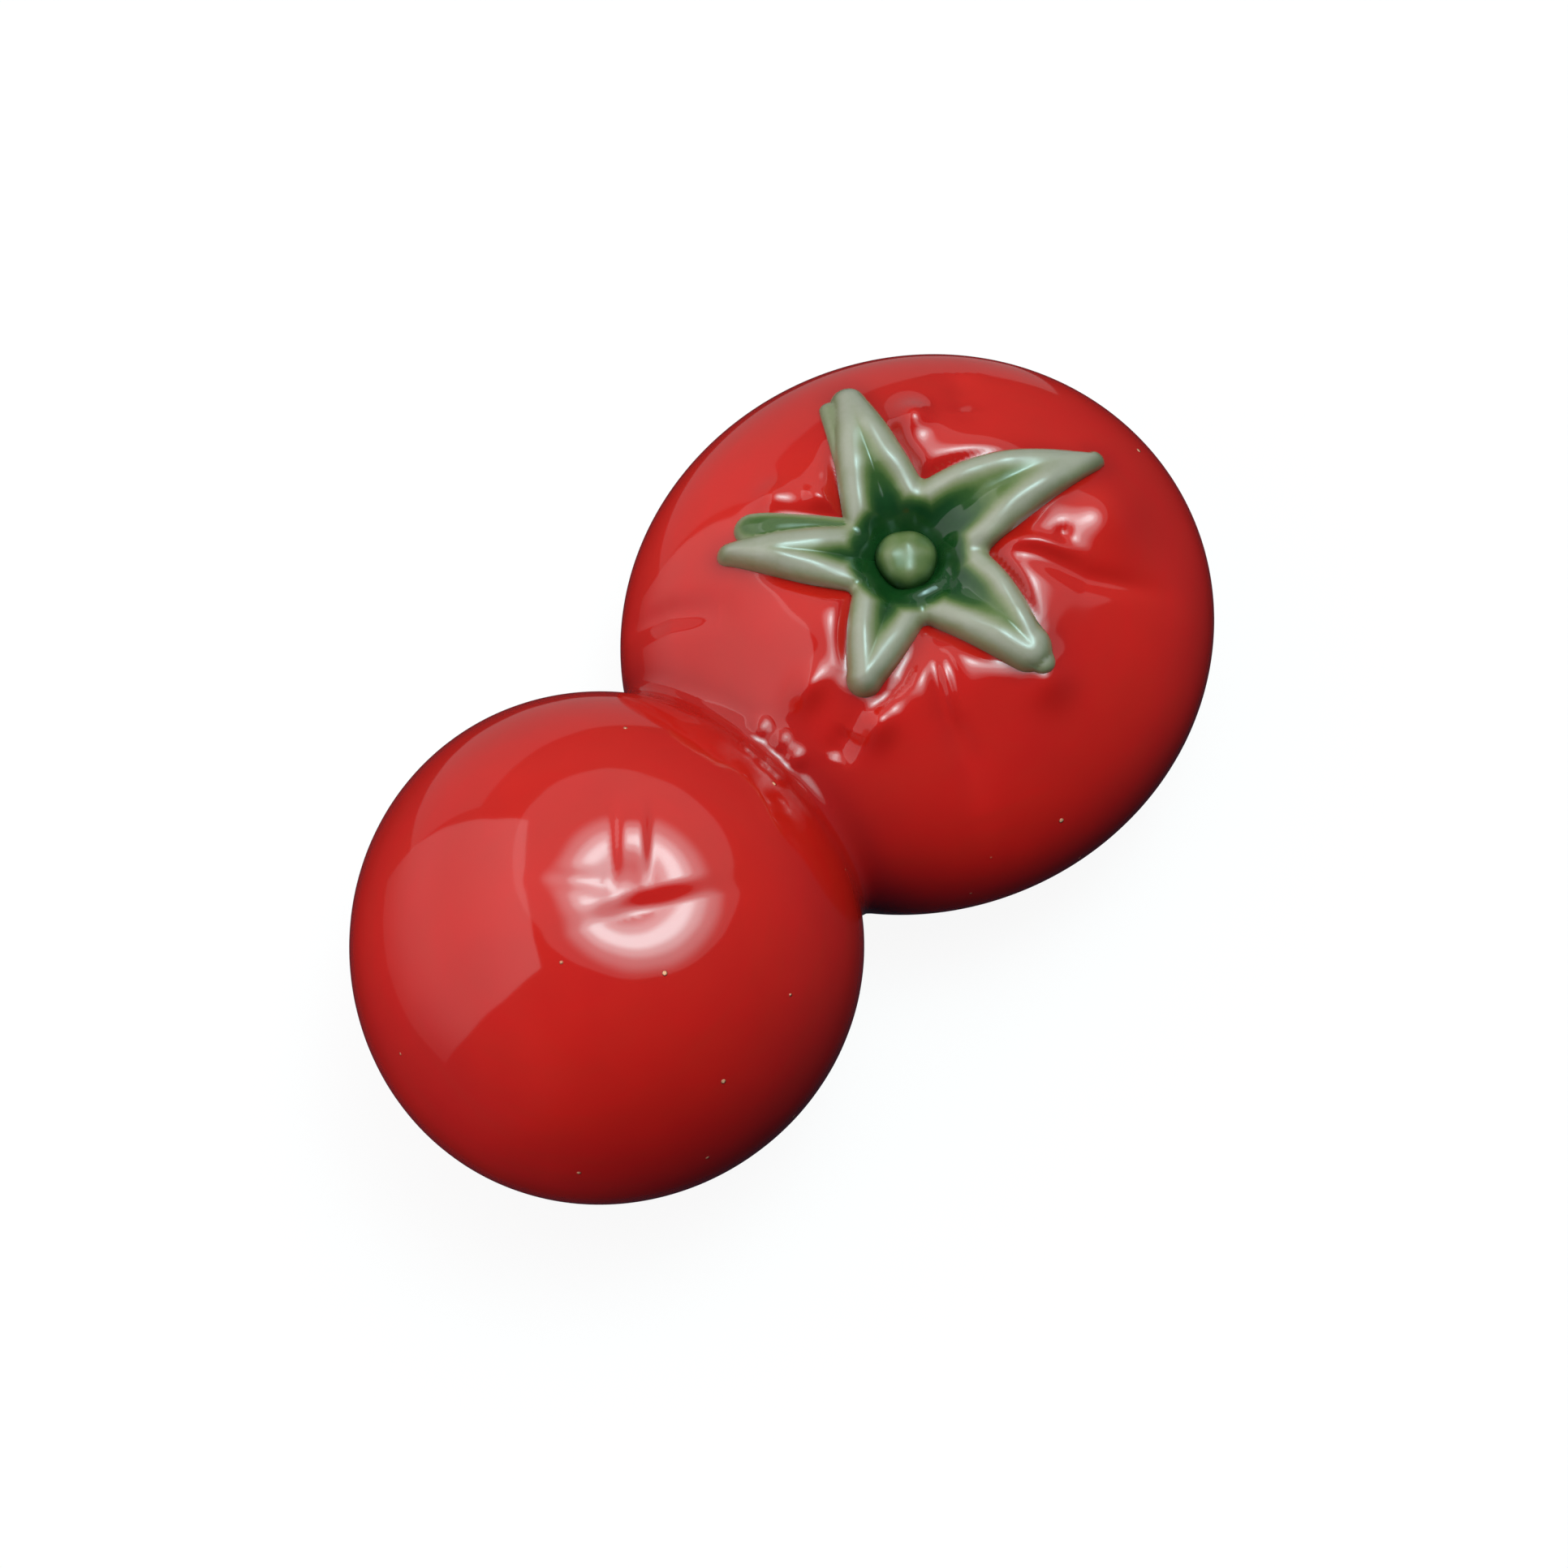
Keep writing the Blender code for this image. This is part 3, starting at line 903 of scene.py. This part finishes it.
def build_calyx():
    angles = 2 * np.pi * np.arange(CALYX_COLUMNS) / CALYX_COLUMNS
    ways = np.stack([np.cos(angles), np.sin(angles), np.zeros(CALYX_COLUMNS)], -1)

    def edge(points):
        return calyx_edge(points[..., 0], points[..., 1])

    reach = first_root(edge, np.zeros((CALYX_COLUMNS, 3)), ways, 3.0, 13.0, samples=120)
    shares = 1 - (1 - np.linspace(0, 1, CALYX_RINGS + 1)[1:]) ** 1.5
    plan = shares[:, None, None] * reach[None, :, None] * ways[None, :, :2]
    x = plan[..., 0]
    y = plan[..., 1]
    ground = crown_surface(x, y)
    rise, pool_and_painted_shade = calyx_rise(x, y)
    top_rings = np.stack([x, y, ground + rise], -1).reshape(-1, 3)
    wall_low = np.stack([x[-1], y[-1], ground[-1] - 0.45], -1)
    skirt = np.stack([x[-1] * 0.97, y[-1] * 0.97, ground[-1] - 0.7], -1)
    middle = crown_surface(np.zeros(1), np.zeros(1))
    mid_rise, mid_pool = calyx_rise(np.zeros(1), np.zeros(1))
    tip = np.array([[0.0, 0.0, middle[0] + mid_rise[0]]])
    under = np.array([[0.0, 0.0, middle[0] - 0.7]])
    points = np.concatenate([tip, top_rings, wall_low, skirt, under])
    points[:, 0] += CALYX[0]
    points[:, 1] += CALYX[1]
    count = CALYX_COLUMNS
    faces = fan(0, 1, count, False).tolist()
    for i in range(CALYX_RINGS + 1):
        faces += band(1 + i * count, 1 + (i + 1) * count, count).tolist()
    faces += fan(len(points) - 1, 1 + (CALYX_RINGS + 1) * count, count, True).tolist()
    obj = link_mesh("calyx_star", points, faces, [green])
    glaze = np.zeros(len(points))
    glaze[0] = mid_pool[0]
    glaze[1:1 + CALYX_RINGS * count] = pool_and_painted_shade.ravel()
    set_float(obj, "pool_and_painted_shade", glaze)
    set_float(obj, "dull", 0.22 - 0.14 * np.clip(1.4 * glaze, 0, 1))
    return obj


calyx_piece = build_calyx()
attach(calyx_piece, BODY)
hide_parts("calyx")

# The stub: how far its edge and its root lie below the plate's floor, and the small peak off its middle.
STUB_RADIUS = 1.70
STUB_RISE = 1.15
STUB_SINK = 0.25
STUB_ROOT = 0.9
PEAK_PLACE = (0.45, 0.45)
PEAK_HEIGHT = 0.14
PEAK_WIDTH = 0.42
STUB_POOL = 0.40
STUB_DULL = 0.32
STUB_LUMP = 0.05


def build_stub():
    """A hand-pressed button: a low, lopsided dome with a small peak off its middle."""
    columns = 64
    angles = 2 * np.pi * np.arange(columns) / columns
    ground = crown_surface(np.zeros(1), np.zeros(1))[0] + PLATE_HEIGHT - CHANNEL_DEPTH
    shares = np.linspace(0, 1, 17)[1:]
    rings = []
    pool_and_painted_shade = [STUB_POOL]
    for share in shares:
        radius = STUB_RADIUS * share * (1 + 0.035 * np.cos(3 * angles + 0.6))
        x = radius * np.cos(angles)
        y = radius * np.sin(angles)
        rise = STUB_RISE * (1 - share**3.0) ** 0.62 - 0.12 * (x * 0.9 - y * 0.2)
        from_peak = np.hypot(x - PEAK_PLACE[0], y - PEAK_PLACE[1])
        peak = PEAK_HEIGHT * np.exp(-((from_peak / PEAK_WIDTH) ** 2))
        lumps = np.sin(3.3 * x + 0.7) * np.sin(3.9 * y + 1.9)
        rings.append(np.stack([x, y, ground - STUB_SINK + rise + peak + STUB_LUMP * lumps], -1))
        # The stub's colour darkens towards its edge.
        pool_and_painted_shade += (STUB_POOL - 0.07 * lumps + 0.45 * share**6).tolist()
    rings.append(np.stack([x * 0.98, y * 0.98, np.full(columns, ground - STUB_ROOT)], -1))
    pool_and_painted_shade += [0.9] * columns + [0.9]
    tip_lump = STUB_LUMP * math.sin(0.7) * math.sin(1.9)
    tip = np.array([[0.0, 0.0, ground - STUB_SINK + STUB_RISE + 0.02 + tip_lump]])
    under = np.array([[0.0, 0.0, ground - STUB_ROOT]])
    points = np.concatenate([tip] + rings + [under])
    points[:, 0] += CALYX[0]
    points[:, 1] += CALYX[1]
    faces = fan(0, 1, columns, False).tolist()
    for i in range(len(rings) - 1):
        faces += band(1 + i * columns, 1 + (i + 1) * columns, columns).tolist()
    faces += fan(len(points) - 1, 1 + (len(rings) - 1) * columns, columns, True).tolist()
    obj = link_mesh("stub_button", points, faces, [green])
    set_float(obj, "pool_and_painted_shade", pool_and_painted_shade)
    set_float(obj, "dull", np.full(len(points), STUB_DULL))
    return obj


stub_piece = build_stub()
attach(stub_piece, BODY)
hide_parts("stem_stub")


# ---------------------------------------------------------------- the felt discs and the hidden pieces

def build_felt(name, tomato, cloth):
    """A thick felt disc, a little uneven round its cut edge, that fills the space up to the foot ring."""
    columns = 128
    angles = 2 * np.pi * np.arange(columns) / columns
    edge = tomato.foot - FELT_INSET + 0.05 * np.cos(7 * angles) + 0.04 * np.cos(11 * angles + 1.0)
    section = ((0.35, 1.0), (0.7, 1.0), (0.97, 1.0), (0.995, 0.88), (1.0, 0.5), (0.995, 0.12), (0.97, 0.0))
    section += ((0.7, 0.0), (0.35, 0.0))
    rings = []
    for share, level in section:
        radius = edge * share
        height = np.full(columns, FELT_TOP * level)
        x = tomato.x + radius * np.cos(angles)
        y = tomato.y + radius * np.sin(angles)
        rings.append(np.stack([x, y, height], -1))
    top = np.array([[tomato.x, tomato.y, FELT_TOP]])
    under = np.array([[tomato.x, tomato.y, 0.0]])
    points = np.concatenate([top] + rings + [under])
    faces = fan(0, 1, columns, False).tolist()
    for i in range(len(rings) - 1):
        faces += band(1 + i * columns, 1 + (i + 1) * columns, columns).tolist()
    faces += fan(len(points) - 1, 1 + (len(rings) - 1) * columns, columns, True).tolist()
    obj = link_mesh(name, points, faces, [cloth])
    obj.data.set_sharp_from_angle(angle=math.radians(50))
    return obj


felt_cloth = felt("felt", linear(92, 18, 20), linear(140, 34, 34))
for prefix, tomato in (("front", FRONT), ("rear", REAR)):
    pad = build_felt(f"{prefix}_felt_pad", tomato, felt_cloth)
    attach(pad, BODY)
    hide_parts(f"{prefix}_felt_disc")

HIDDEN = {"magnet": nickel(), "magnet_bed": adhesive(), "closing_disc": board()}
for prefix in ("front", "rear"):
    for part, finish in HIDDEN.items():
        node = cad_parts[f"{prefix}_{part}"]
        node.data.materials.clear()
        node.data.materials.append(finish)


# ---------------------------------------------------------------- the studio

CAMERA_AZIMUTH = -47.3
CAMERA_ELEVATION = 75.0
CAMERA_DISTANCE = 290.5 * MM
CAMERA_TARGET = Vector((-0.13, -0.47, 8.0)) * MM
CAMERA_LENS = 120
turn = math.radians(CAMERA_AZIMUTH)
lift = math.radians(CAMERA_ELEVATION)
BACK = Vector((math.sin(turn) * math.cos(lift), -math.cos(turn) * math.cos(lift), math.sin(lift)))
RIGHT = Vector((math.cos(turn), math.sin(turn), 0))
UP = BACK.cross(RIGHT)

camera = bpy.data.objects.new("camera", bpy.data.cameras.new("camera"))
bpy.context.scene.collection.objects.link(camera)
camera.data.lens = CAMERA_LENS
camera.data.sensor_width = 36
camera.data.clip_start = 0.01
camera.location = CAMERA_TARGET + BACK * CAMERA_DISTANCE
camera.rotation_mode = "QUATERNION"
camera.rotation_quaternion = (-BACK).to_track_quat("-Z", "Y")
bpy.context.scene.camera = camera


def toward(right, up):
    """The direction that lies this many degrees to the right of and above the camera's axis, as seen by
    the camera."""
    away = math.radians(math.hypot(right, up))
    side = math.atan2(up, right)
    return BACK * math.cos(away) + (RIGHT * math.cos(side) + UP * math.sin(side)) * math.sin(away)


LIGHT_DISTANCE = 0.6
LIGHT_AIM = Vector((0, 0, 10 * MM))


def softbox(name, shape, right, up, width, height, radiance, roll=0.0):
    """An area light that faces the object from toward(right, up). Its width and height are shares of its
    distance, and its radiance is 1 where a mirror would show it as white."""
    data = bpy.data.lights.new(name, "AREA")
    data.shape = shape
    data.size = width * LIGHT_DISTANCE
    data.size_y = height * LIGHT_DISTANCE
    area = data.size * data.size_y * (math.pi / 4 if shape == "ELLIPSE" else 1)
    data.energy = radiance * math.pi * area
    light = bpy.data.objects.new(name, data)
    bpy.context.scene.collection.objects.link(light)
    way = toward(right, up)
    level = UP.cross(way).normalized()
    frame_axes = Matrix((level, way.cross(level), way)).transposed()
    turned = frame_axes @ Matrix.Rotation(math.radians(roll), 3, "Z")
    light.matrix_world = Matrix.Translation(LIGHT_AIM + way * LIGHT_DISTANCE) @ turned.to_4x4()
    return light


def fade_light(light, kind, stops):
    """Varies a light over its face. kind is "round", from its middle out, or "across", from left to right."""
    data = light.data
    data.use_nodes = True
    tree = data.node_tree
    place = tree.nodes.new("ShaderNodeNewGeometry").outputs["Parametric"]
    ramp = tree.nodes.new("ShaderNodeValToRGB")
    ramp.color_ramp.interpolation = "EASE"
    if kind == "round":
        away = tree.nodes.new("ShaderNodeVectorMath")
        away.operation = "DISTANCE"
        away.inputs[1].default_value = (0.5, 0.5, 0)
        tree.links.new(place, away.inputs[0])
        double = tree.nodes.new("ShaderNodeMath")
        double.operation = "MULTIPLY"
        double.inputs[1].default_value = 2
        tree.links.new(away.outputs["Value"], double.inputs[0])
        tree.links.new(double.outputs[0], ramp.inputs[0])
    else:
        parts = tree.nodes.new("ShaderNodeSeparateXYZ")
        tree.links.new(place, parts.inputs[0])
        tree.links.new(parts.outputs["X"], ramp.inputs[0])
    elements = ramp.color_ramp.elements
    while len(elements) < len(stops):
        elements.new(0.5)
    for element, (stop, level) in zip(elements, stops):
        element.position = stop
        element.color = (level, level, level, 1)
    tree.links.new(ramp.outputs[0], tree.nodes["Emission"].inputs["Strength"])


softbox("key_surround", "ELLIPSE", 8, 42, 1.74, 1.74, 0.6)
key = softbox("key_core", "ELLIPSE", 12, 31, 1.34, 1.34, 14.0)
key.data.color = (0.62, 1.0, 1.02)
fade_light(key, "round", ((0.08, 1.0), (0.28, 0.50), (0.50, 0.20), (0.84, 0.0)))
# No reflection shows this light, which warms what the key lights.
warmth = softbox("key_warmth", "ELLIPSE", 12, 36, 1.34, 1.34, 0.55)
warmth.data.color = (1.0, 0.22, 0.15)
warmth.visible_glossy = False
left = softbox("left_panel", "RECTANGLE", -68, 13, 1.6, 1.35, 1.25, roll=30)
fade_light(left, "across", ((0.0, 0.12), (0.45, 0.60), (1.0, 1.0)))
softbox("back_panel", "RECTANGLE", -50, 112, 1.6, 0.7, 0.3)
# No reflection shows this one either. It lifts the shaded side.
fill = softbox("left_fill", "RECTANGLE", -60, -35, 1.4, 1.4, 1.15)
fill.visible_glossy = False


def build_sky():
    """A dim sky that shows only in reflections: palest towards the picture's top left, and fading out below
    the camera's horizon."""
    world = bpy.data.worlds.new("studio")
    bpy.context.scene.world = world
    world.use_nodes = True
    world.cycles_visibility.diffuse = False
    tree = world.node_tree
    background = tree.nodes["Background"]
    direction = tree.nodes.new("ShaderNodeTexCoord").outputs["Generated"]
    lean = tree.nodes.new("ShaderNodeVectorMath")
    lean.operation = "DOT_PRODUCT"
    lean.inputs[1].default_value = (UP - 0.35 * RIGHT).normalized()
    tree.links.new(direction, lean.inputs[0])
    half = tree.nodes.new("ShaderNodeMath")
    half.operation = "MULTIPLY_ADD"
    half.inputs[1].default_value = 0.5
    half.inputs[2].default_value = 0.5
    tree.links.new(lean.outputs["Value"], half.inputs[0])
    tint = tree.nodes.new("ShaderNodeValToRGB")
    tint.color_ramp.elements[0].color = (0.02, 0.015, 0.05, 1)
    tint.color_ramp.elements[1].color = (0.26, 0.26, 0.28, 1)
    tint.color_ramp.elements.new(0.5).color = (0.15, 0.14, 0.20, 1)
    tree.links.new(half.outputs[0], tint.inputs[0])
    tree.links.new(tint.outputs[0], background.inputs["Color"])
    behind = tree.nodes.new("ShaderNodeVectorMath")
    behind.operation = "DOT_PRODUCT"
    behind.inputs[1].default_value = BACK
    tree.links.new(direction, behind.inputs[0])
    dim = tree.nodes.new("ShaderNodeMapRange")
    dim.inputs["From Min"].default_value = -0.8
    dim.inputs["From Max"].default_value = 0.0
    dim.inputs["To Min"].default_value = 0.15
    tree.links.new(behind.outputs["Value"], dim.inputs["Value"])
    tree.links.new(dim.outputs[0], background.inputs["Strength"])


FLOOR_HALF = 8.0


def build_floor():
    """A plain sheet of pale paper that glows a little, so that it stays white with a faint shadow."""
    corners = [(-FLOOR_HALF, -FLOOR_HALF, 0), (FLOOR_HALF, -FLOOR_HALF, 0)]
    corners += [(FLOOR_HALF, FLOOR_HALF, 0), (-FLOOR_HALF, FLOOR_HALF, 0)]
    data = bpy.data.meshes.new("floor")
    data.from_pydata(corners, [], [(0, 1, 2, 3)])
    obj = bpy.data.objects.new("floor", data)
    bpy.context.scene.collection.objects.link(obj)
    paper = Nodes("floor_paper")
    glow = {"Emission_Color": (1, 1, 1, 1), "Emission_Strength": 0.92}
    data.materials.append(paper.finish((0.06, 0.06, 0.06), 0.9, **glow))
    obj.visible_glossy = False
    obj.visible_diffuse = False
    return obj


build_sky()
floor = build_floor()

bpy.context.scene.view_settings.view_transform = "Standard"
